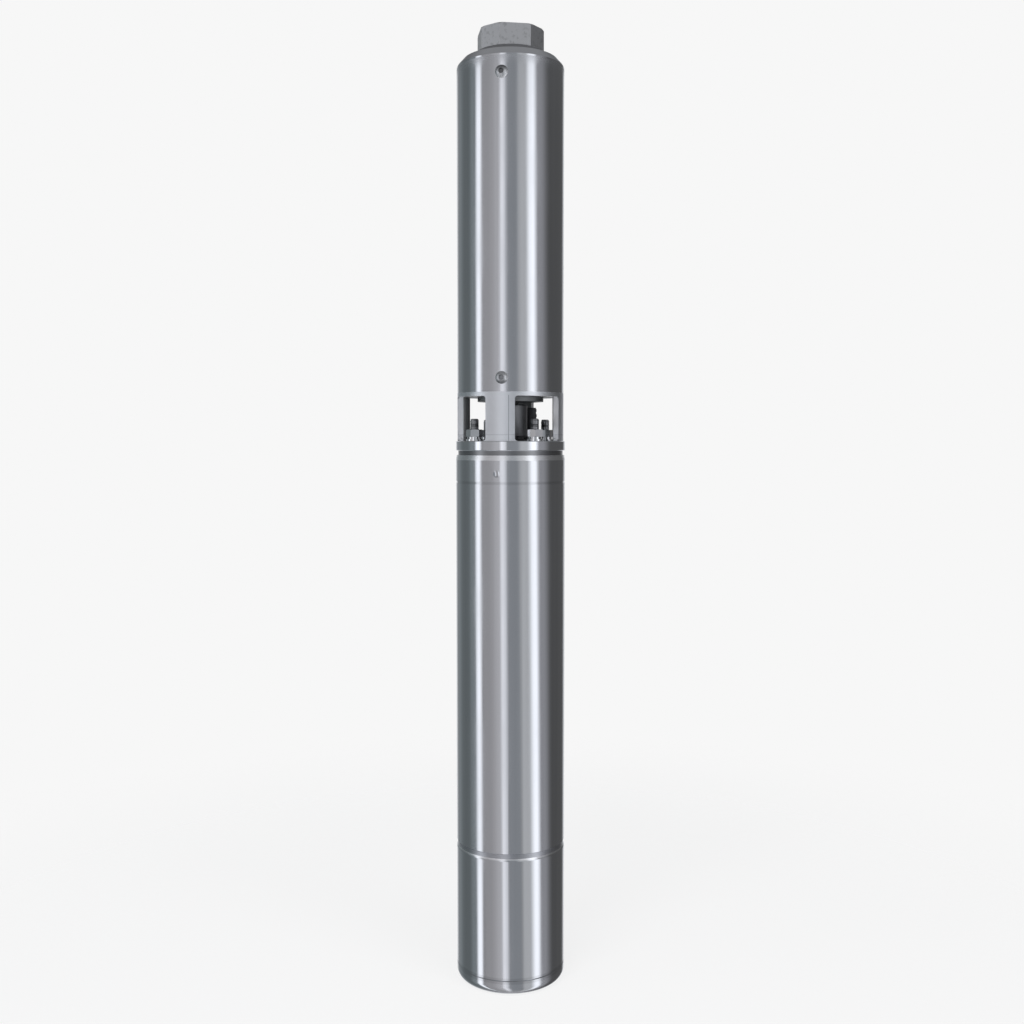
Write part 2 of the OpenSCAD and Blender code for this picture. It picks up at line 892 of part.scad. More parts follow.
module top_cover_seal_ring() {
    color("dimgray")
        seal_ring(sleeve_high - plug_h + groove_w, motor_ri - seal_ring_r - slip_fit / 2);
}

module upper_bearing() {
    color("darkslategray")
        tube(upper_bearing_low, upper_bearing_low + bearing_h,
             journal_r + running_fit + bearing_wall, journal_r + running_fit);
}

// Polished motor tube with a turned-in rim, a swaged line and one punch mark
module motor_sleeve() {
    line_drop = 24;
    line_w = 1.6;
    line_deep = 0.5;
    punch_drop = 16;
    punch_angle = 221.7;
    punch_ball = 6;
    punch_deep = 0.8;
    color("silver")
        difference() {
            rotate_extrude()
                polygon([[motor_ri, sleeve_low], [motor_r - edge_chamfer, sleeve_low],
                         [motor_r, sleeve_low + edge_chamfer], [motor_r, sleeve_high - rim_h],
                         [motor_r - rim_in, sleeve_high], [motor_ri, sleeve_high]]);
            translate([0, 0, sleeve_high - line_drop])
                tube(-line_w / 2, line_w / 2, motor_r + cut, motor_r - line_deep);
            rotate(punch_angle)
                translate([motor_r + punch_ball - punch_deep, 0, sleeve_high - punch_drop])
                    sphere(r = punch_ball);
        }
}

// Flat outline of the stator slots, smaller by the given gap
module slot_outline(gap) {
    half = slot_w / 2 - gap;
    for (i = [0:slot_count - 1])
        rotate(i * 360 / slot_count)
            translate([slot_in_r + slot_w / 2, 0]) {
                circle(r = half, $fn = 24);
                translate([0, -half])
                    square([slot_depth - slot_w, 2 * half]);
                translate([slot_depth - slot_w, 0])
                    circle(r = half, $fn = 24);
            }
}

// Laminated stator with closed-in slots
module stator_core() {
    color("slategray")
        translate([0, 0, core_low])
            linear_extrude(core_h)
                difference() {
                    circle(r = motor_ri - seat_fit);
                    circle(r = stator_bore / 2);
                    slot_outline(0);
                    for (i = [0:slot_count - 1])
                        rotate(i * 360 / slot_count)
                            translate([stator_bore / 2 - cut, -slot_mouth_w / 2])
                                square([slot_in_r - stator_bore / 2 + slot_w, slot_mouth_w]);
                }
}

// Coils in the slots, joined by the end turns above and below the core
module stator_winding() {
    in_r = slot_in_r - 2;
    out_r = slot_in_r + slot_depth + 2;
    half_h = end_turn_h / 2;
    side = half_h - end_turn_round;
    color("chocolate") {
        translate([0, 0, core_low - end_turn_gap - weld])
            linear_extrude(core_h + 2 * (end_turn_gap + weld))
                slot_outline(slot_fit);
        for (low = [core_low - end_turn_gap - end_turn_h, core_high + end_turn_gap])
            translate([0, 0, low + end_turn_h / 2])
                rotate_extrude()
                    polygon([[in_r, -side], [in_r + end_turn_round, -half_h],
                             [out_r - end_turn_round, -half_h], [out_r, -side], [out_r, side],
                             [out_r - end_turn_round, half_h], [in_r + end_turn_round, half_h],
                             [in_r, side]]);
    }
}

module rotor_core() {
    color("dimgray")
        tube(core_low, core_high, rotor_r, rotor_seat_r + seat_fit);
}

// Cast rings that close the rotor cage
module rotor_end_rings() {
    out_r = rotor_r - 1;
    in_r = rotor_seat_r + 3;
    color("gainsboro") {
        tube(core_low - end_ring_h, core_low, out_r, in_r);
        tube(core_high, core_high + end_ring_h, out_r, in_r);
    }
}

// Stepped motor shaft from the thrust disc to the flatted stub
module motor_shaft() {
    shoulder_low = lower_bearing_low + bearing_h + shaft_shoulder;
    shoulder_high = upper_bearing_low - shaft_shoulder;
    journal_high = upper_bearing_low + bearing_h + 1;
    color("silver") {
        disc(thrust_disc_low - running_fit / 2, thrust_disc_low + thrust_disc_h + weld, thrust_end_r);
        disc(thrust_disc_low + thrust_disc_h, shoulder_low + weld, journal_r);
        disc(shoulder_low, shoulder_high, rotor_seat_r);
        disc(shoulder_high - weld, journal_high, journal_r);
        disc(journal_high - weld, coupling_low, stub_r);
        flatted_stub(coupling_low - weld, shaft_split, 0);
    }
}

module lower_bearing() {
    color("darkslategray")
        tube(lower_bearing_low, lower_bearing_low + bearing_h,
             journal_r + running_fit + bearing_wall, journal_r + running_fit);
}

// Carrier between motor and lower housing: its rim is the dark seam
module bearing_carrier() {
    bearing_out_r = journal_r + running_fit + bearing_wall + seat_fit;
    skirt = 4;
    flow_holes = 6;
    flow_r = 3;
    up_high = sleeve_low + carrier_up;
    down_low = lower_top - carrier_down;
    color("gray")
        difference() {
            union() {
                disc(down_low, lower_top + weld, lower_ri - slip_fit);
                disc(lower_top, sleeve_low, motor_r - seam_in);
                disc(sleeve_low - weld, up_high, motor_ri - slip_fit);
            }
            difference() {
                disc(down_low - cut, lower_top, lower_ri - slip_fit - seal_ring_d - skirt);
                disc(down_low - 2 * cut, lower_top + cut, bearing_out_r + bearing_hub_wall);
            }
            difference() {
                disc(lower_top + carrier_web, up_high + cut, motor_ri - slip_fit - seal_ring_d - skirt);
                disc(lower_top, up_high + 2 * cut, bearing_out_r + bearing_hub_wall);
            }
            disc(lower_bearing_low, up_high + cut, bearing_out_r);
            disc(down_low - cut, up_high, journal_r + shaft_room);
            on_ring(flow_holes, stator_bore / 2 + 2)
                disc(lower_top - cut, lower_top + carrier_web + cut, flow_r);
            seal_groove(lower_top - groove_w, lower_ri - slip_fit);
            seal_groove(sleeve_low + groove_w, motor_ri - slip_fit);
        }
}

module carrier_seal_rings() {
    color("dimgray") {
        seal_ring(lower_top - groove_w, lower_ri - seal_ring_r - slip_fit / 2);
        seal_ring(sleeve_low + groove_w, motor_ri - seal_ring_r - slip_fit / 2);
    }
}

// Runner of the thrust bearing, on the lower end of the shaft
module thrust_disc() {
    color("gainsboro")
        tube(thrust_disc_low, thrust_disc_low + thrust_disc_h, thrust_r, thrust_end_r + seat_fit);
}

// Tilting pads under the runner
module thrust_pads() {
    color("darkkhaki")
        difference() {
            tube(thrust_pads_low, thrust_pads_low + thrust_pad_h, thrust_r - 1, thrust_pad_in);
            for (i = [0:thrust_pads_count - 1])
                rotate(i * 360 / thrust_pads_count)
                    translate([0, -thrust_slot / 2, thrust_pads_low - cut])
                        cube([thrust_r + cut, thrust_slot, thrust_pad_h + 2 * cut]);
        }
}

module thrust_plate() {
    color("gray")
        tube(web_top, thrust_pads_low, thrust_r + 1, thrust_pad_in - 4);
}

// Housing below the seam, with the web that carries the thrust bearing
module lower_housing() {
    top_edge = 2.2;
    flow_holes = 6;
    flow_r = 3;
    color("silver")
        difference() {
            rotate_extrude()
                polygon([[0, web_top - web_t], [ledge_ri, web_top - web_t], [ledge_ri, ledge_low],
                         [lower_ri, ledge_low], [lower_ri, cover_h], [motor_r - edge_chamfer, cover_h],
                         [motor_r, cover_h + edge_chamfer], [motor_r, lower_top - top_edge],
                         [motor_r - top_edge / 3, lower_top],
                         [lower_ri, lower_top], [lower_ri, web_top], [0, web_top]]);
            on_ring(flow_holes, thrust_pad_in - 6)
                disc(web_top - web_t - cut, web_top + cut, flow_r / 2);
            cover_screw_places(cover_screw_r + seat_fit, ledge_low - cut,
                               ledge_low + cover_screw_grip + cut);
        }
}

// Places of the screws that hold the bottom cover
module cover_screw_places(r, low, high) {
    on_ring(4, cover_screw_ring_r, pillar_angle)
        disc(low, high, r);
}

// Rubber dome that lets the motor liquid expand
module diaphragm() {
    centre = ledge_low + dome_rise - dome_r;
    color("black")
        difference() {
            union() {
                disc(diaphragm_low, ledge_low, lower_ri - slip_fit);
                intersection() {
                    translate([0, 0, centre])
                        sphere(r = dome_r - slip_fit);
                    disc(diaphragm_low, ledge_low + dome_rise, ledge_ri - slip_fit);
                }
            }
            translate([0, 0, centre])
                sphere(r = dome_r - dome_t);
            cover_screw_places(cover_screw_r + seat_fit, diaphragm_low - cut, ledge_low + cut);
        }
}

// Cup that closes the base, with a rounded bottom edge and breather holes
module bottom_cover() {
    color("silver")
        difference() {
            union() {
                rotate_extrude() {
                    square([motor_r - base_round, cover_h]);
                    polygon([[0, base_round], [motor_r, base_round], [motor_r, cover_h - edge_chamfer],
                             [motor_r - edge_chamfer, cover_h], [0, cover_h]]);
                    translate([motor_r - base_round, base_round])
                        intersection() {
                            circle(r = base_round);
                            translate([0, -base_round])
                                square(base_round);
                        }
                }
                disc(cover_h - weld, diaphragm_low, lower_ri - slip_fit);
            }
            disc(cover_floor, diaphragm_low + cut, ledge_ri - 2);
            on_ring(breathers, breather_ring_r)
                disc(-cut, cover_floor + cut, breather_r);
            cover_screw_places(cover_screw_r + seat_fit, 0, diaphragm_low + cut);
            cover_screw_places(cover_screw_head_r + slip_fit, -cut,
                               cover_screw_recess + cover_screw_head_h);
        }
}

module cover_screws() {
    seat = cover_screw_recess + cover_screw_head_h;
    socket_af = 4;
    socket_h = 2.5;
    color("gray")
        difference() {
            union() {
                cover_screw_places(cover_screw_head_r, cover_screw_recess, seat);
                cover_screw_places(cover_screw_r - seat_fit, seat - weld, ledge_low + cover_screw_grip);
            }
            on_ring(4, cover_screw_ring_r, pillar_angle)
                hex_prism(cover_screw_recess - cut, cover_screw_recess + socket_h, socket_af);
        }
}

discharge_head();
head_seal_ring();
valve_seat();
valve_disc();
valve_disc_seal();
valve_spring();
valve_cage();
pump_sleeve();
sleeve_screws();
top_bearing_housing();
top_bearing_bush();
shaft_sleeve();
shaft_nut();
pump_shaft();
for (i = [1:stage_count]) {
    impeller(i);
    bowl(i);
}
suction_bracket();
coupling();
coupling_screws();
mounting_studs();
flat_washers();
lock_washers();
stud_nuts();
cable_gland();
sand_slinger();
shaft_seal();
motor_top_cover();
top_cover_seal_ring();
upper_bearing();
motor_sleeve();
stator_core();
stator_winding();
rotor_core();
rotor_end_rings();
motor_shaft();
lower_bearing();
bearing_carrier();
carrier_seal_rings();
thrust_disc();
thrust_pads();
thrust_plate();
lower_housing();
diaphragm();
bottom_cover();
cover_screws();
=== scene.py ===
import json
import math

import bpy
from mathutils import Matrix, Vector


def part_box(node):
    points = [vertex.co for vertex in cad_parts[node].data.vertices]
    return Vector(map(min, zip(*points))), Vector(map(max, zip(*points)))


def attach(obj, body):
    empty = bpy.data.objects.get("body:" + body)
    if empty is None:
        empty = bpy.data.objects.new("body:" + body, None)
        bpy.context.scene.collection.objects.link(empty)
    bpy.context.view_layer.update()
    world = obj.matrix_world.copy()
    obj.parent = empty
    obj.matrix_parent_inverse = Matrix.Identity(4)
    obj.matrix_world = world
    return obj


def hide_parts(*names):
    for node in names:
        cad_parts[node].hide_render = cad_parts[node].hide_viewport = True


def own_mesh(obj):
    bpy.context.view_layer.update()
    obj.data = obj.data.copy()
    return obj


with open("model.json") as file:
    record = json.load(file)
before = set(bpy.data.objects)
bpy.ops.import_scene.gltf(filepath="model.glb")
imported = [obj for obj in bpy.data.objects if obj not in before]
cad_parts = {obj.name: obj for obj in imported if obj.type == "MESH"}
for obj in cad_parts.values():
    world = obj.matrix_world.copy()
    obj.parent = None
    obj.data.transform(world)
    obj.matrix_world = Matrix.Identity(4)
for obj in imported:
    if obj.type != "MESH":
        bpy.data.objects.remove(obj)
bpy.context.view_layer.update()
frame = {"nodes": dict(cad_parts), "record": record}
nodes = frame["nodes"]
print("frame loaded:", len(nodes), "nodes")


# camera level with the foot of the intake windows, a little to the right of the front pillar
photoCamera = dict(turn=-33.8, distance=1.060, height=0.4913, pitch=3.5, sideStep=0.00135,
                   lens=41.34, sensor=36.0)


def placeCamera(cfg):
    turn = math.radians(cfg["turn"])
    away = Vector((math.sin(turn), -math.cos(turn), 0.0))
    right = Vector((math.cos(turn), math.sin(turn), 0.0))
    data = bpy.data.cameras.new("photoCamera")
    data.lens = cfg["lens"]
    data.sensor_width = cfg["sensor"]
    cam = bpy.data.objects.new("photoCamera", data)
    cam.location = away * cfg["distance"] + right * cfg["sideStep"] + Vector((0, 0, cfg["height"]))
    cam.rotation_euler = (math.radians(90.0 - cfg["pitch"]), 0.0, turn)
    bpy.context.collection.objects.link(cam)
    bpy.context.scene.camera = cam


placeCamera(photoCamera)
print("camera placed")


# shader helpers
fineDetail = 2.0  # octaves of noise: few for fine lines, more for clouds
cloudDetail = 4.0
cloudRough = 0.6
noiseMiddle = (0.3, 0.7)  # the span that most of a noise lies in
reliefDepth = 0.0002  # height of a full bump, in metres


def newMaterial(name):
    mat = bpy.data.materials.new(name)
    mat.use_nodes = True
    tree = mat.node_tree
    tree.nodes.clear()
    out = tree.nodes.new("ShaderNodeOutputMaterial")
    return mat, tree, out


def addNode(tree, kind, values=None, **settings):
    made = tree.nodes.new(kind)
    for key, value in settings.items():
        setattr(made, key, value)
    for key, value in (values or {}).items():
        made.inputs[key].default_value = value
    return made


def plug(tree, socket, value):
    if isinstance(value, (int, float, tuple)):
        socket.default_value = value
    else:
        tree.links.new(value, socket)


def calc(tree, operation, *values):
    made = addNode(tree, "ShaderNodeMath", operation=operation)
    for socket, value in zip(made.inputs, values):
        plug(tree, socket, value)
    return made.outputs[0]


def ease(tree, value, low, high, toLow=0.0, toHigh=1.0):
    ends = {"From Min": low, "From Max": high, "To Min": toLow, "To Max": toHigh}
    made = addNode(tree, "ShaderNodeMapRange", ends, interpolation_type="SMOOTHSTEP")
    tree.links.new(value, made.inputs["Value"])
    return made.outputs[0]


def band(tree, value, low, high, soft):
    rise = ease(tree, value, low - soft, low + soft)
    fall = ease(tree, value, high + soft, high - soft)
    return calc(tree, "MULTIPLY", rise, fall)


def anyBand(tree, value, ranges, soft):
    share = 0.0
    for low, high in ranges:
        share = calc(tree, "MAXIMUM", band(tree, value, low, high, soft), share)
    return share


def innerSide(tree, value, limit, soft):
    return ease(tree, value, limit + soft, limit - soft)


def objectPlace(tree):
    return addNode(tree, "ShaderNodeTexCoord").outputs["Object"]


def splitPlace(tree, place):
    made = addNode(tree, "ShaderNodeSeparateXYZ")
    tree.links.new(place, made.inputs[0])
    return made.outputs


def axisRadius(tree, xyz):
    squares = [calc(tree, "MULTIPLY", part, part) for part in xyz[:2]]
    return calc(tree, "SQRT", calc(tree, "ADD", *squares))


def noise(tree, place, stretch, detail=3.0, rough=0.5):
    turn = addNode(tree, "ShaderNodeMapping", {"Scale": stretch})
    tree.links.new(place, turn.inputs["Vector"])
    made = addNode(tree, "ShaderNodeTexNoise", {"Scale": 1.0, "Detail": detail, "Roughness": rough})
    tree.links.new(turn.outputs[0], made.inputs["Vector"])
    return made.outputs["Fac"]


def blend(tree, factor, low, high):
    made = addNode(tree, "ShaderNodeMix", data_type="RGBA")
    tree.links.new(factor, made.inputs[0])
    # sockets 6 and 7 are the mix's two colours
    for socket, value in ((made.inputs[6], low), (made.inputs[7], high)):
        plug(tree, socket, (*value, 1.0) if isinstance(value, tuple) else value)
    return made.outputs[2]


def varied(tree, factor, colour, low, high):
    return blend(tree, factor, tuple(low * c for c in colour), tuple(high * c for c in colour))


def lerp(tree, factor, low, high):
    made = addNode(tree, "ShaderNodeMix", data_type="FLOAT")
    tree.links.new(factor, made.inputs[0])
    plug(tree, made.inputs[2], low)
    plug(tree, made.inputs[3], high)
    return made.outputs[0]


def bump(tree, height, strength):
    made = addNode(tree, "ShaderNodeBump", {"Strength": strength, "Distance": reliefDepth})
    tree.links.new(height, made.inputs["Height"])
    return made.outputs[0]


def shaded(tree, out, metallic, colour, rough, normal):
    shade = addNode(tree, "ShaderNodeBsdfPrincipled", {"Metallic": metallic})
    tree.links.new(colour, shade.inputs["Base Color"])
    tree.links.new(rough, shade.inputs["Roughness"])
    tree.links.new(normal, shade.inputs["Normal"])
    tree.links.new(shade.outputs[0], out.inputs["Surface"])


# studio shell round the object: upright soft strips, even light above them, floor light below
# each strip: middle angle from the camera, half width, softness, lean per metre of height (degrees), colour
# all strips bow a little to the left at mid-height
studio = dict(
    radius=3.0, centre=0.45, around=96, upward=48, base=0.11, bow=2.0, bowMiddle=0.20, bowReach=1.50,
    beltLow=1.45, beltHigh=2.20, beltColour=(0.36, 0.365, 0.375), beltSide=(0.16, 0.165, 0.17),
    beltHalf=60.0, beltSoft=30.0,
    topLow=2.35, topHigh=3.20, topColour=(0.30, 0.303, 0.31),
    bounceHigh=-1.90, bounceLow=-2.55, bounceShare=0.60, bounceColour=(0.42, 0.42, 0.43),
    strips={
        "farLeft": (-142.0, 14.0, 12.0, 0.0, (0.150, 0.170, 0.180)),
        "leftWall": (-110.0, 24.0, 12.0, 0.0, (0.055, 0.075, 0.080)),
        "leftEdge": (-82.0, 9.0, 7.0, -1.5, (0.130, 0.155, 0.165)),
        "leftStrip": (-68.3, 6.4, 3.8, -1.5, (1.42, 1.45, 1.52)),
        "leftFill": (-36.0, 24.0, 7.0, -2.4, (0.325, 0.318, 0.328)),
        "middleRamp": (-21.0, 12.0, 10.0, -2.4, (0.16, 0.16, 0.165)),
        "middleStrip": (-11.5, 6.3, 3.0, -2.4, (0.73, 0.74, 0.78)),
        "middleGap": (9.0, 13.0, 4.0, -2.8, (0.215, 0.230, 0.250)),
        "rightFill": (33.5, 11.0, 5.0, -4.0, (0.50, 0.51, 0.52)),
        "rightStrip": (52.6, 8.4, 5.6, -4.8, (1.38, 1.41, 1.47)),
        "rightFade": (70.0, 15.0, 12.0, -4.8, (0.26, 0.26, 0.28)),
        "backWall": (180.0, 26.0, 10.0, 0.0, (0.72, 0.73, 0.75)),
    },
)


def stageObject(name, verts, faces, mat):
    mesh = bpy.data.meshes.new(name)
    mesh.from_pydata(verts, [], faces)
    mesh.materials.append(mat)
    obj = bpy.data.objects.new(name, mesh)
    bpy.context.collection.objects.link(obj)
    return obj


def addColours(tree, a, b):
    made = addNode(tree, "ShaderNodeVectorMath", operation="ADD")
    plug(tree, made.inputs[0], a)
    plug(tree, made.inputs[1], b)
    return made.outputs[0]


def scaleColour(tree, colour, factor):
    made = addNode(tree, "ShaderNodeVectorMath", operation="SCALE")
    plug(tree, made.inputs[0], colour)
    plug(tree, made.inputs["Scale"], factor)
    return made.outputs[0]


def shellMaterial(cfg, turn):
    mat, tree, out = newMaterial("studioShell")
    xyz = splitPlace(tree, objectPlace(tree))
    angle = calc(tree, "ARCTAN2", xyz[0], calc(tree, "MULTIPLY", xyz[1], -1.0))
    reach = calc(tree, "DIVIDE", calc(tree, "SUBTRACT", xyz[2], cfg["bowMiddle"]), cfg["bowReach"])
    inward = calc(tree, "SUBTRACT", 1.0, calc(tree, "MULTIPLY", reach, reach))
    angle = calc(tree, "MULTIPLY_ADD", inward, math.radians(cfg["bow"]), angle)

    def away(middle, lean):
        tilted = calc(tree, "MULTIPLY_ADD", xyz[2], math.radians(-lean), angle)
        turned = calc(tree, "SUBTRACT", tilted, math.radians(middle + turn))
        return calc(tree, "ABSOLUTE", calc(tree, "WRAP", turned, math.pi, -math.pi))

    light = (cfg["base"],) * 3
    for middle, half, soft, lean, colour in cfg["strips"].values():
        share = ease(tree, away(middle, lean), math.radians(half + soft), math.radians(half - soft))
        light = addColours(tree, light, scaleColour(tree, colour, share))
    half = cfg["beltHalf"]
    soft = cfg["beltSoft"]
    front = ease(tree, away(0.0, 0.0), math.radians(half + soft), math.radians(half - soft))
    belt = blend(tree, front, cfg["beltSide"], cfg["beltColour"])
    light = blend(tree, ease(tree, xyz[2], cfg["beltLow"], cfg["beltHigh"]), light, belt)
    light = blend(tree, ease(tree, xyz[2], cfg["topLow"], cfg["topHigh"]), light, cfg["topColour"])
    under = ease(tree, xyz[2], cfg["bounceHigh"], cfg["bounceLow"], 0.0, cfg["bounceShare"])
    light = blend(tree, under, light, cfg["bounceColour"])
    glow = addNode(tree, "ShaderNodeEmission", {"Strength": 1.0})
    tree.links.new(light, glow.inputs["Color"])
    tree.links.new(glow.outputs[0], out.inputs["Surface"])
    return mat


def buildShell(cfg, turn):
    around = cfg["around"]
    upward = cfg["upward"]
    verts = []
    for row in range(1, upward):
        tilt = math.pi * row / upward
        ring = cfg["radius"] * math.sin(tilt)
        high = cfg["centre"] + cfg["radius"] * math.cos(tilt)
        for step in range(around):
            side = 2 * math.pi * step / around
            verts.append((ring * math.cos(side), ring * math.sin(side), high))
    faces = []
    for row in range(upward - 2):
        for step in range(around):
            nextStep = (step + 1) % around
            low = row * around
            high = low + around
            faces.append((low + step, low + nextStep, high + nextStep, high + step))
    faces.append(tuple(range(around)))
    faces.append(tuple(range((upward - 2) * around, (upward - 1) * around)))
    shell = stageObject("studioShell", verts, faces, shellMaterial(cfg, turn))
    shell.visible_camera = False
    shell.visible_shadow = False


floorLook = dict(size=0.9, fade=0.35, white=1.05, lit=0.25, paper=(0.92, 0.92, 0.92, 1.0))


def buildFloor(cfg):
    mat, tree, out = newMaterial("paleFloor")
    r = axisRadius(tree, splitPlace(tree, objectPlace(tree)))
    paper = addNode(tree, "ShaderNodeBsdfDiffuse", {"Color": cfg["paper"]})
    glow = addNode(tree, "ShaderNodeEmission", {"Color": (1.0, 1.0, 1.0, 1.0), "Strength": cfg["white"]})
    both = addNode(tree, "ShaderNodeMixShader", {"Fac": cfg["lit"]})
    clear = addNode(tree, "ShaderNodeBsdfTransparent")
    edge = addNode(tree, "ShaderNodeMixShader")
    tree.links.new(glow.outputs[0], both.inputs[1])
    tree.links.new(paper.outputs[0], both.inputs[2])
    tree.links.new(ease(tree, r, cfg["fade"], cfg["size"]), edge.inputs[0])
    tree.links.new(both.outputs[0], edge.inputs[1])
    tree.links.new(clear.outputs[0], edge.inputs[2])
    tree.links.new(edge.outputs[0], out.inputs["Surface"])
    s = cfg["size"]
    floor = stageObject("paleFloor", [(-s, -s, 0), (s, -s, 0), (s, s, 0), (-s, s, 0)], [(0, 1, 2, 3)], mat)
    floor.visible_glossy = False


worldLook = dict(white=0.93, fill=0.45)


def buildWorld(cfg):
    world = bpy.data.worlds.new("studioWorld")
    bpy.context.scene.world = world
    world.use_nodes = True
    tree = world.node_tree
    tree.nodes.clear()
    out = tree.nodes.new("ShaderNodeOutputWorld")
    rays = addNode(tree, "ShaderNodeLightPath").outputs
    mirrored = calc(tree, "MAXIMUM", rays["Is Glossy Ray"], rays["Is Transmission Ray"])
    seen = calc(tree, "MAXIMUM", rays["Is Camera Ray"], mirrored)
    back = addNode(tree, "ShaderNodeBackground", {"Color": (1.0, 1.0, 1.0, 1.0)})
    tree.links.new(lerp(tree, seen, cfg["fill"], cfg["white"]), back.inputs["Strength"])
    tree.links.new(back.outputs[0], out.inputs["Surface"])


softLights = [
    dict(name="keyLight", turn=-25.0, distance=1.6, height=2.0, size=1.0, power=14.0),
    dict(name="fillLight", turn=40.0, distance=1.9, height=1.4, size=1.2, power=8.0),
]


def buildLights(rows, turn, middle):
    for cfg in rows:
        data = bpy.data.lights.new(cfg["name"], "AREA")
        data.energy = cfg["power"]
        data.size = cfg["size"]
        lamp = bpy.data.objects.new(cfg["name"], data)
        side = math.radians(turn + cfg["turn"])
        lamp.location = (cfg["distance"] * math.sin(side), -cfg["distance"] * math.cos(side), cfg["height"])
        aim = Vector((0.0, 0.0, middle)) - lamp.location
        lamp.rotation_euler = aim.to_track_quat("-Z", "Y").to_euler()
        lamp.visible_glossy = False
        bpy.context.collection.objects.link(lamp)


buildShell(studio, photoCamera["turn"])
buildFloor(floorLook)
buildWorld(worldLook)
buildLights(softLights, photoCamera["turn"], studio["centre"])
bpy.context.scene.view_settings.view_transform = "Standard"
print("studio built")


# drawn stainless tube: fine upright lines, smudges, satin turned rims with a painted highlight, painted
# shade along the rolled lines, duller top
tubeFinish = dict(
    colour=(0.60, 0.612, 0.64), lines=(900.0, 900.0, 3.0), streaks=(160.0, 160.0, 1.2),
    tones=(0.90, 1.07), smudges=(16.0, 16.0, 9.0), smudgeSpan=(0.35, 0.75),
    dull=(0.8060, 0.8165), dullRough=0.16, rough=0.12, smear=0.05, lineRough=0.04, relief=0.06,
    rims=((0.4736, 0.4785), (0.1227, 0.1242)), rimSoft=0.0003, rimHighlightColour=(0.80, 0.81, 0.83), rimRough=0.27,
    rolled=((0.4528, 0.4552), (0.0112, 0.0165)), rolledSoft=0.0008, rolledShade=0.86,
)


def polishedTube(cfg):
    mat, tree, out = newMaterial("polishedTube")
    place = objectPlace(tree)
    high = splitPlace(tree, place)[2]
    drawn = noise(tree, place, cfg["lines"], fineDetail)
    streak = noise(tree, place, cfg["streaks"], fineDetail)
    smudge = noise(tree, place, cfg["smudges"], cloudDetail, cloudRough)
    rim = anyBand(tree, high, cfg["rims"], cfg["rimSoft"])
    colour = varied(tree, streak, cfg["colour"], *cfg["tones"])
    # painted shade: the colour is darkened in bands round the rolled line and the cover line
    rolled = anyBand(tree, high, cfg["rolled"], cfg["rolledSoft"])
    colour = scaleColour(tree, colour, lerp(tree, rolled, 1.0, cfg["rolledShade"]))
    # painted highlight: the satin turned rims get a paler colour than the tube
    colour = blend(tree, rim, colour, cfg["rimHighlightColour"])
    glossy = cfg["rough"] - cfg["smear"] / 2
    rough = ease(tree, smudge, *cfg["smudgeSpan"], glossy, cfg["rough"] + cfg["smear"])
    rough = calc(tree, "MULTIPLY_ADD", drawn, cfg["lineRough"], rough)
    rough = calc(tree, "MULTIPLY_ADD", ease(tree, high, *cfg["dull"]), cfg["dullRough"], rough)
    rough = lerp(tree, rim, rough, cfg["rimRough"])
    shaded(tree, out, 1.0, colour, rough, bump(tree, drawn, cfg["relief"]))
    return mat


# satin casting: fine grain, pitted head, turned flange and shoulder; painted shade inside the windows, in
# the outlet bore, under the head and in the neck and seam; painted light on the window walls
castingFinish = dict(
    colour=(0.76, 0.785, 0.82), tones=(0.90, 1.06), rough=0.38, sway=0.05, grain=1500.0, mottle=60.0,
    crisp=0.0001, clear=0.0002, soft=0.0003, wide=0.0004, relief=0.10, grainHeight=3.0,
    flange=(0.4820, 0.4905), shoulder=(0.8100, 0.8243), turnedColour=(0.64, 0.652, 0.68),
    turned=(6.0, 6.0, 2400.0), turnedRough=0.07, turnedSway=0.05,
    head=0.8246, headColour=(0.59, 0.595, 0.61), headRough=0.45,
    pits=(330.0, 330.0, 330.0), pitSpan=(0.52, 0.72), pitColour=(0.47, 0.475, 0.485),
    root=(0.8244, 0.8302), rootShadeColour=(0.38, 0.385, 0.40),
    neck=(0.4700, 0.4819), neckShadeColour=(0.26, 0.265, 0.275), neckRough=0.30,
    seam=(0.1236, 0.1284), seamShadeColour=(0.43, 0.44, 0.47), seamRough=0.30,
    insideRadius=0.0424, insideTop=0.5300, insideShadeColour=(0.28, 0.29, 0.295), insideRough=0.55,
    wallRadius=0.0470, litWallColour=(0.95, 0.962, 0.98),
    boreRadius=0.0212, boreLow=0.7900, boreSoft=0.001, boreShadeColour=(0.42, 0.43, 0.44),
    partingTurn=54.3, partingHalf=0.25, partingColour=(0.42, 0.44, 0.47),
    scribeLow=0.4956, scribeHigh=0.4964, scribeShare=0.35,
)


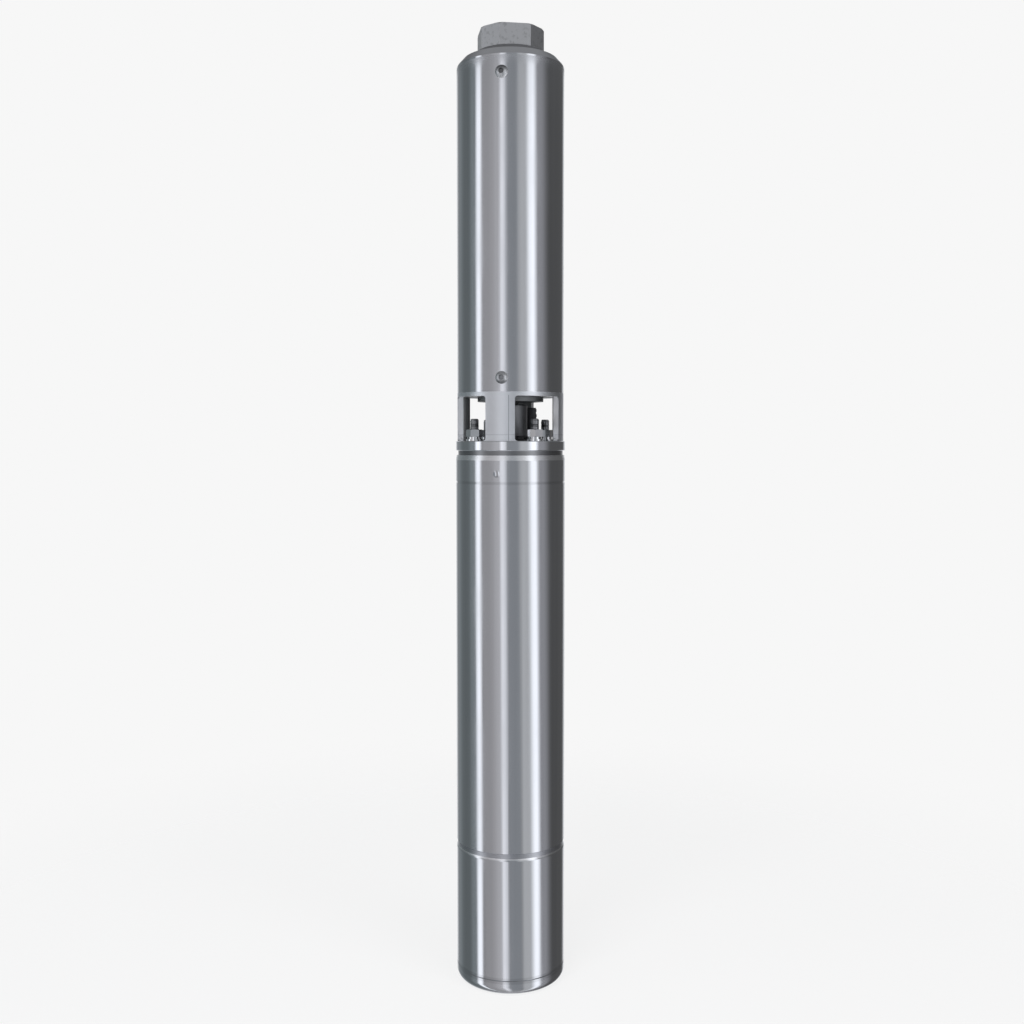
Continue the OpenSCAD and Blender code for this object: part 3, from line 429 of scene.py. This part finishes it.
def satinCasting(cfg):
    mat, tree, out = newMaterial("satinCasting")
    place = objectPlace(tree)
    xyz = splitPlace(tree, place)
    r = axisRadius(tree, xyz)
    high = xyz[2]
    crisp = cfg["crisp"]
    soft = cfg["soft"]
    grain = noise(tree, place, (cfg["grain"],) * 3, fineDetail)
    mottle = noise(tree, place, (cfg["mottle"],) * 3, cloudDetail)
    turned = noise(tree, place, cfg["turned"], fineDetail)
    pits = noise(tree, place, cfg["pits"], fineDetail)

    shoulder = band(tree, high, *cfg["shoulder"], crisp)
    bright = calc(tree, "MAXIMUM", band(tree, high, *cfg["flange"], cfg["clear"]), shoulder)
    head = ease(tree, high, cfg["head"] - cfg["clear"], cfg["head"] + cfg["clear"])
    root = band(tree, high, *cfg["root"], soft)
    neck = band(tree, high, *cfg["neck"], crisp)
    seam = band(tree, high, *cfg["seam"], crisp)
    window = band(tree, high, cfg["flange"][1], cfg["insideTop"], soft)
    inside = calc(tree, "MULTIPLY", window, innerSide(tree, r, cfg["insideRadius"], cfg["wide"]))
    wall = calc(tree, "MULTIPLY", window, innerSide(tree, r, cfg["wallRadius"], cfg["clear"]))
    deep = innerSide(tree, r, cfg["boreRadius"], cfg["wide"])
    bore = calc(tree, "MULTIPLY", ease(tree, high, cfg["boreLow"] - cfg["boreSoft"], cfg["boreLow"]), deep)
    quarter = calc(tree, "WRAP", calc(tree, "ARCTAN2", xyz[1], xyz[0]), math.pi / 2, 0.0)
    off = calc(tree, "ABSOLUTE", calc(tree, "SUBTRACT", quarter, math.radians(cfg["partingTurn"])))
    parting = ease(tree, off, math.radians(2 * cfg["partingHalf"]), math.radians(cfg["partingHalf"]))
    scribe = band(tree, high, cfg["scribeLow"], cfg["scribeHigh"], soft)
    lines = calc(tree, "MAXIMUM", parting, calc(tree, "MULTIPLY", scribe, cfg["scribeShare"]))
    marks = calc(tree, "MULTIPLY", window, lines)

    colour = varied(tree, mottle, cfg["colour"], *cfg["tones"])
    # painted light: the faces round the windows are made paler, as if lit from the front
    colour = blend(tree, wall, colour, cfg["litWallColour"])
    colour = blend(tree, marks, colour, cfg["partingColour"])
    headTone = blend(tree, ease(tree, pits, *cfg["pitSpan"]), cfg["headColour"], cfg["pitColour"])
    colour = blend(tree, head, colour, headTone)
    # painted shade: a dark band where the head meets the shoulder
    colour = blend(tree, root, colour, cfg["rootShadeColour"])
    colour = blend(tree, bright, colour, cfg["turnedColour"])
    # painted shade: the neck groove is darkened
    colour = blend(tree, neck, colour, cfg["neckShadeColour"])
    # painted shade: the seam groove is darkened
    colour = blend(tree, seam, colour, cfg["seamShadeColour"])
    # painted shade: deep inside the outlet bore is darkened
    colour = blend(tree, bore, colour, cfg["boreShadeColour"])
    # painted shade: the inside of the windows is darkened where shade falls
    colour = blend(tree, inside, colour, cfg["insideShadeColour"])

    rough = ease(tree, mottle, *noiseMiddle, cfg["rough"] - cfg["sway"], cfg["rough"] + cfg["sway"])
    rough = lerp(tree, head, rough, cfg["headRough"])
    turnedRough = calc(tree, "MULTIPLY_ADD", turned, cfg["turnedSway"], cfg["turnedRough"])
    rough = lerp(tree, bright, rough, turnedRough)
    rough = lerp(tree, neck, rough, cfg["neckRough"])
    rough = lerp(tree, seam, rough, cfg["seamRough"])
    rough = lerp(tree, inside, rough, cfg["insideRough"])
    coarse = calc(tree, "MULTIPLY", grain, cfg["grainHeight"])
    relief = lerp(tree, calc(tree, "MAXIMUM", bright, neck), coarse, turned)
    shaded(tree, out, 1.0, colour, rough, bump(tree, relief, cfg["relief"]))
    return mat


# other metals: fine lines one way, smudged gloss
metalFinish = dict(smudges=60.0, tones=(0.82, 1.05), glossier=0.06, duller=0.04, lineRough=0.06,
                   grainHeight=2.0, relief=0.10)


def turnedMetal(name, colour, rough, lines, grain=0.0):
    cfg = metalFinish
    mat, tree, out = newMaterial(name)
    place = objectPlace(tree)
    drawn = noise(tree, place, lines, fineDetail)
    smudge = noise(tree, place, (cfg["smudges"],) * 3, cloudDetail, cloudRough)
    tone = varied(tree, smudge, colour, *cfg["tones"])
    gloss = ease(tree, smudge, *noiseMiddle, rough - cfg["glossier"], rough + cfg["duller"])
    sheen = calc(tree, "MULTIPLY_ADD", drawn, cfg["lineRough"], gloss)
    relief = drawn
    if grain:
        coarse = noise(tree, place, (grain,) * 3, fineDetail)
        relief = calc(tree, "MULTIPLY_ADD", coarse, cfg["grainHeight"], drawn)
    shaded(tree, out, 1.0, tone, sheen, bump(tree, relief, cfg["relief"]))
    return mat


# moulded, rubber and blackened pieces: fine grain, faint cloudiness
mouldFinish = dict(grain=1100.0, clouds=45.0, tones=(0.78, 1.15), sway=0.07, relief=0.15)


def mouldedLook(name, colour, rough, metallic=0.0):
    cfg = mouldFinish
    mat, tree, out = newMaterial(name)
    place = objectPlace(tree)
    fine = noise(tree, place, (cfg["grain"],) * 3)
    cloud = noise(tree, place, (cfg["clouds"],) * 3, cloudDetail)
    tone = varied(tree, cloud, colour, *cfg["tones"])
    sheen = ease(tree, fine, *noiseMiddle, rough - cfg["sway"], rough + cfg["sway"])
    shaded(tree, out, metallic, tone, sheen, bump(tree, fine, cfg["relief"]))
    return mat


# how far the fine lines of each finish are drawn out, along x, y and z
turnedRound = (6.0, 6.0, 2400.0)
stackLines = (4.0, 4.0, 1900.0)
wireLines = (300.0, 300.0, 40.0)
finishes = {
    "polished_steel": polishedTube(tubeFinish),
    "cast_steel": satinCasting(castingFinish),
    "fastener_steel": turnedMetal("zincFastener", (0.86, 0.87, 0.89), 0.13, turnedRound),
    "shaft_steel": turnedMetal("groundBar", (0.25, 0.255, 0.265), 0.52, turnedRound),
    "black_steel": mouldedLook("blackenedSteel", (0.05, 0.05, 0.055), 0.40, metallic=0.6),
    "black_rubber": mouldedLook("blackRubber", (0.045, 0.045, 0.048), 0.65),
    "black_plastic": mouldedLook("blackPlastic", (0.090, 0.092, 0.098), 0.45),
    "impeller_plastic": mouldedLook("naturalPlastic", (0.62, 0.56, 0.42), 0.48),
    "bowl_plastic": mouldedLook("greyPlastic", (0.28, 0.29, 0.30), 0.50),
    "valve_brass": turnedMetal("turnedBrass", (0.72, 0.53, 0.24), 0.26, turnedRound),
    "bearing_carbon": mouldedLook("bearingCarbon", (0.055, 0.055, 0.06), 0.35),
    "lamination_steel": turnedMetal("stackedSheet", (0.32, 0.33, 0.35), 0.42, stackLines),
    "enamelled_copper": turnedMetal("varnishedCopper", (0.62, 0.27, 0.12), 0.34, wireLines),
    "cage_aluminium": turnedMetal("castAluminium", (0.72, 0.73, 0.74), 0.40, turnedRound, grain=900.0),
}

for row in frame["record"]["subparts"]:
    obj = nodes[row["node"]]
    if not obj.material_slots:
        obj.data.materials.append(None)
    for held in obj.material_slots:
        held.material = finishes[row["material_slot"]]

# screws in the polished sleeve: satin heads with painted shade in the socket, a painted highlight on the
# edges and a painted shadow on the outer end
screwFinish = dict(
    colour=(0.56, 0.57, 0.59), tones=(0.92, 1.06), rough=0.40, sway=0.05, grain=1500.0, relief=0.10,
    angle=47.0, levels=(0.545, 0.802),
    socket=0.0023, socketSoft=0.0002, lowSocketShade=(0.26, 0.265, 0.28), highSocketShade=(0.16, 0.163, 0.17),
    edge=0.0049, edgeSoft=0.0004, edgeHighlightColour=(0.76, 0.765, 0.78),
    end=(0.0012, 0.0036), endShadowColour=(0.25, 0.255, 0.265),
)


def socketScrew(cfg):
    mat, tree, out = newMaterial("socketScrew")
    place = objectPlace(tree)
    xyz = splitPlace(tree, place)
    turn = math.radians(cfg["angle"])
    across = calc(tree, "SUBTRACT", calc(tree, "MULTIPLY", xyz[1], math.cos(turn)),
                  calc(tree, "MULTIPLY", xyz[0], math.sin(turn)))
    low, high = cfg["levels"]
    upper = calc(tree, "GREATER_THAN", xyz[2], (low + high) / 2)
    above = calc(tree, "SUBTRACT", xyz[2], lerp(tree, upper, low, high))
    outward = calc(tree, "MULTIPLY", above, lerp(tree, upper, -1.0, 1.0))
    off = axisRadius(tree, (across, above))
    grain = noise(tree, place, (cfg["grain"],) * 3, fineDetail)
    socket = innerSide(tree, off, cfg["socket"], cfg["socketSoft"])
    edge = ease(tree, off, cfg["edge"] - cfg["edgeSoft"], cfg["edge"] + cfg["edgeSoft"])
    colour = varied(tree, grain, cfg["colour"], *cfg["tones"])
    # painted highlight: the rim of each head is made paler to hide the dark ring round it
    colour = blend(tree, edge, colour, cfg["edgeHighlightColour"])
    # painted shadow: a dark crescent on the end of each head away from the sleeve's middle
    colour = blend(tree, ease(tree, outward, *cfg["end"]), colour, cfg["endShadowColour"])
    # painted shade: the socket is darkened, more on the upper screws
    colour = blend(tree, socket, colour, blend(tree, upper, cfg["lowSocketShade"], cfg["highSocketShade"]))
    rough = ease(tree, grain, *noiseMiddle, cfg["rough"] - cfg["sway"], cfg["rough"] + cfg["sway"])
    shaded(tree, out, 1.0, colour, rough, bump(tree, grain, cfg["relief"]))
    return mat


sleeveScrew = socketScrew(screwFinish)
for held in nodes["sleeve_screws"].material_slots:
    held.material = sleeveScrew
# darker steel for the studs
studSteel = turnedMetal("darkStud", (0.34, 0.345, 0.355), 0.34, turnedRound)
print("finishes set:", len(finishes) + 2)


# geometry node trees for what winds or repeats

def newTree(name, inputs):
    tree = bpy.data.node_groups.new(name, "GeometryNodeTree")
    tree.interface.new_socket("Geometry", in_out="OUTPUT", socket_type="NodeSocketGeometry")
    for label, kind in inputs:
        tree.interface.new_socket(label, in_out="INPUT", socket_type="NodeSocket" + kind)
    given = tree.nodes.new("NodeGroupInput").outputs
    out = tree.nodes.new("NodeGroupOutput")
    return tree, given, out


def join(tree, *shapes):
    made = tree.nodes.new("GeometryNodeJoinGeometry")
    for shape in shapes:
        tree.links.new(shape, made.inputs[0])
    return made.outputs[0]


def lift(tree, shape, height):
    made = tree.nodes.new("GeometryNodeTransform")
    move = addNode(tree, "ShaderNodeCombineXYZ")
    plug(tree, move.inputs[2], height)
    tree.links.new(shape, made.inputs["Geometry"])
    tree.links.new(move.outputs[0], made.inputs["Translation"])
    return made.outputs[0]


def windCoil(tree, radius, wire, turns, height, sides, steps):
    path = addNode(tree, "GeometryNodeCurveSpiral")
    for label, value in (("Resolution", steps), ("Rotations", turns), ("Start Radius", radius),
                         ("End Radius", radius), ("Height", height)):
        plug(tree, path.inputs[label], value)
    section = addNode(tree, "GeometryNodeCurvePrimitiveCircle")
    plug(tree, section.inputs["Resolution"], sides)
    plug(tree, section.inputs["Radius"], wire)
    sweep = addNode(tree, "GeometryNodeCurveToMesh", {"Fill Caps": True})
    tree.links.new(path.outputs[0], sweep.inputs["Curve"])
    tree.links.new(section.outputs[0], sweep.inputs["Profile Curve"])
    return sweep.outputs[0]


def closeTree(tree, shape, material, out, smooth):
    real = tree.nodes.new("GeometryNodeRealizeInstances")
    soft = addNode(tree, "GeometryNodeSetShadeSmooth", {"Shade Smooth": smooth})
    paint = tree.nodes.new("GeometryNodeSetMaterial")
    tree.links.new(shape, real.inputs[0])
    tree.links.new(real.outputs[0], soft.inputs["Geometry"])
    tree.links.new(soft.outputs[0], paint.inputs["Geometry"])
    tree.links.new(material, paint.inputs["Material"])
    tree.links.new(paint.outputs[0], out.inputs[0])


def coilTree():
    tree, given, out = newTree("woundCoil", [
        ("Radius", "Float"), ("Wire", "Float"), ("Turns", "Float"), ("Height", "Float"), ("Base", "Float"),
        ("Sides", "Int"), ("Steps", "Int"), ("Material", "Material")])
    coil = windCoil(tree, given["Radius"], given["Wire"], given["Turns"], given["Height"], given["Sides"],
                    given["Steps"])
    closeTree(tree, lift(tree, coil, given["Base"]), given["Material"], out, True)
    return tree


# inset: how many ridge heights the thread keeps from each end of the rod
studMake = dict(rodSides=32, ridgeSides=4, inset=1.5)


def studTree(cfg):
    tree, given, out = newTree("threadedStuds", [
        ("Core", "Float"), ("Thread", "Float"), ("Pitch", "Float"), ("Length", "Float"), ("Tip", "Float"),
        ("Base", "Float"), ("Ring", "Float"), ("Count", "Int"), ("Steps", "Int"), ("Material", "Material")])
    shank = calc(tree, "SUBTRACT", given["Length"], given["Tip"])
    rod = addNode(tree, "GeometryNodeMeshCylinder", {"Vertices": cfg["rodSides"]})
    plug(tree, rod.inputs["Radius"], given["Core"])
    plug(tree, rod.inputs["Depth"], shank)
    point = addNode(tree, "GeometryNodeMeshCone", {"Vertices": cfg["rodSides"]})
    plug(tree, point.inputs["Radius Top"], calc(tree, "SUBTRACT", given["Core"], given["Tip"]))
    plug(tree, point.inputs["Radius Bottom"], given["Core"])
    plug(tree, point.inputs["Depth"], given["Tip"])
    inset = calc(tree, "MULTIPLY", given["Thread"], cfg["inset"])
    run = calc(tree, "SUBTRACT", shank, calc(tree, "MULTIPLY", inset, 2.0))
    turns = calc(tree, "DIVIDE", run, given["Pitch"])
    ridge = windCoil(tree, given["Core"], given["Thread"], turns, run, cfg["ridgeSides"], given["Steps"])
    one = join(tree, lift(tree, rod.outputs[0], calc(tree, "DIVIDE", shank, 2.0)),
               lift(tree, point.outputs[0], shank), lift(tree, ridge, inset))
    spots = addNode(tree, "GeometryNodeMeshCircle")
    plug(tree, spots.inputs["Vertices"], given["Count"])
    plug(tree, spots.inputs["Radius"], given["Ring"])
    copies = tree.nodes.new("GeometryNodeInstanceOnPoints")
    tree.links.new(spots.outputs[0], copies.inputs["Points"])
    tree.links.new(lift(tree, one, given["Base"]), copies.inputs["Instance"])
    closeTree(tree, copies.outputs[0], given["Material"], out, False)
    return tree


def growPiece(name, tree, values):
    holder = bpy.data.objects.new(name, bpy.data.meshes.new(name))
    bpy.context.collection.objects.link(holder)
    grow = holder.modifiers.new("grow", "NODES")
    grow.node_group = tree
    for item in tree.interface.items_tree:
        if item.in_out == "INPUT":
            grow[item.identifier] = values[item.name]
    ready = holder.evaluated_get(bpy.context.evaluated_depsgraph_get())
    shape = bpy.data.meshes.new_from_object(ready)
    holder.modifiers.clear()
    holder.data = shape
    shape.name = name
    return holder


coils = coilTree()

# pipe thread inside the outlet: ridges standing on the core bore
outletThread = dict(Radius=0.01950, Wire=0.0009, Turns=9.0, Height=0.0208, Base=0.8262, Sides=4, Steps=72)
outletThread["Material"] = finishes["cast_steel"]
threadPiece = growPiece("outlet_thread", coils, outletThread)
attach(threadPiece, "housing")

# closing spring of the check valve, squeezed as the disc lifts
valveSpring = dict(Radius=0.0085, Wire=0.0005, Turns=4.0, Height=0.0103, Base=0.8031, Sides=12, Steps=48)
valveSpring["Material"] = finishes["shaft_steel"]
springPiece = growPiece("valve_spring_wire", coils, valveSpring)
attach(springPiece, "housing")
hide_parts("valve_spring")
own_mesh(springPiece)

# four threaded studs between motor and bracket
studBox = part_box("mounting_studs")
motorStuds = dict(Core=0.00345, Thread=0.00052, Pitch=0.00125, Tip=0.0007, Ring=0.0381, Count=4, Steps=28)
motorStuds["Base"] = studBox[0][2]
motorStuds["Length"] = studBox[1][2] - studBox[0][2]
motorStuds["Material"] = studSteel
studPiece = growPiece("threaded_studs", studTree(studMake), motorStuds)
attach(studPiece, "housing")
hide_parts("mounting_studs")
print("wound pieces grown")
